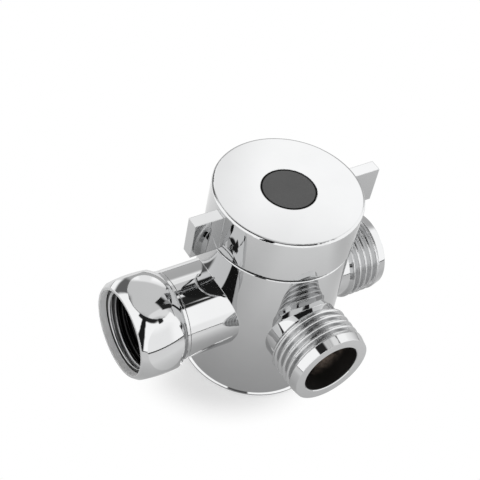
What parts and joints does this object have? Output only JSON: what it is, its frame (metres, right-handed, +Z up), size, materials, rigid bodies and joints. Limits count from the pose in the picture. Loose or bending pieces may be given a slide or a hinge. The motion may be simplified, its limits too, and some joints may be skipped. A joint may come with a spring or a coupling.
{
  "type": "shower diverter valve",
  "caption": "T-shaped chromed shower diverter valve with a winged knob on top, a swivel inlet nut and two threaded outlets.",
  "frame": {"origin": "centre of the flat base, on the axis of the knob", "axes": "+Z up the axis of the knob; +X along the straight outlet, away from the inlet nut; -Y along the branch outlet"},
  "size_m": [0.0714, 0.0492, 0.0556],
  "materials": {
    "body_chrome": "mirror chrome plate on a brass casting",
    "nut_chrome": "mirror chrome plate on brass",
    "knob_chrome": "mirror chrome plate on a zinc casting",
    "cap_plastic": "dark grey satin plastic",
    "spring_steel": "bright spring steel",
    "screw_steel": "stainless steel",
    "plug_brass": "turned brass",
    "gland_brass": "turned brass",
    "seat_plastic": "white low-friction plastic",
    "glide_plastic": "black acetal",
    "seal_rubber": "black rubber"
  },
  "bodies": {
    "valve": {"valve_body": "body_chrome", "nut_retaining_ring": "spring_steel", "inlet_washer": "seal_rubber", "straight_seat_ring": "seat_plastic", "inlet_seat_ring": "seat_plastic", "branch_seat_ring": "seat_plastic", "gland_seal": "seal_rubber", "thrust_washer": "seat_plastic", "gland": "gland_brass", "glide_ring": "glide_plastic"},
    "control": {"knob": "knob_chrome", "index_cap": "cap_plastic", "knob_screw": "screw_steel", "screw_lock_washer": "spring_steel", "diverter_plug": "plug_brass", "lower_plug_seal": "seal_rubber", "upper_plug_seal": "seal_rubber", "lower_stem_seal": "seal_rubber", "upper_stem_seal": "seal_rubber"},
    "coupling": {"inlet_nut": "nut_chrome"}
  },
  "joints": [
    {"name": "knob_turn", "type": "hinge", "parent": "valve", "child": "control", "pos_m": [0, 0, 0.0438], "axis": [0, 0, 1], "range_deg": [-180, 0]},
    {"name": "nut_swivel", "type": "hinge", "parent": "valve", "child": "coupling", "pos_m": [-0.0346, 0, 0.0232], "axis": [1, 0, 0], "continuous": true}
  ]
}
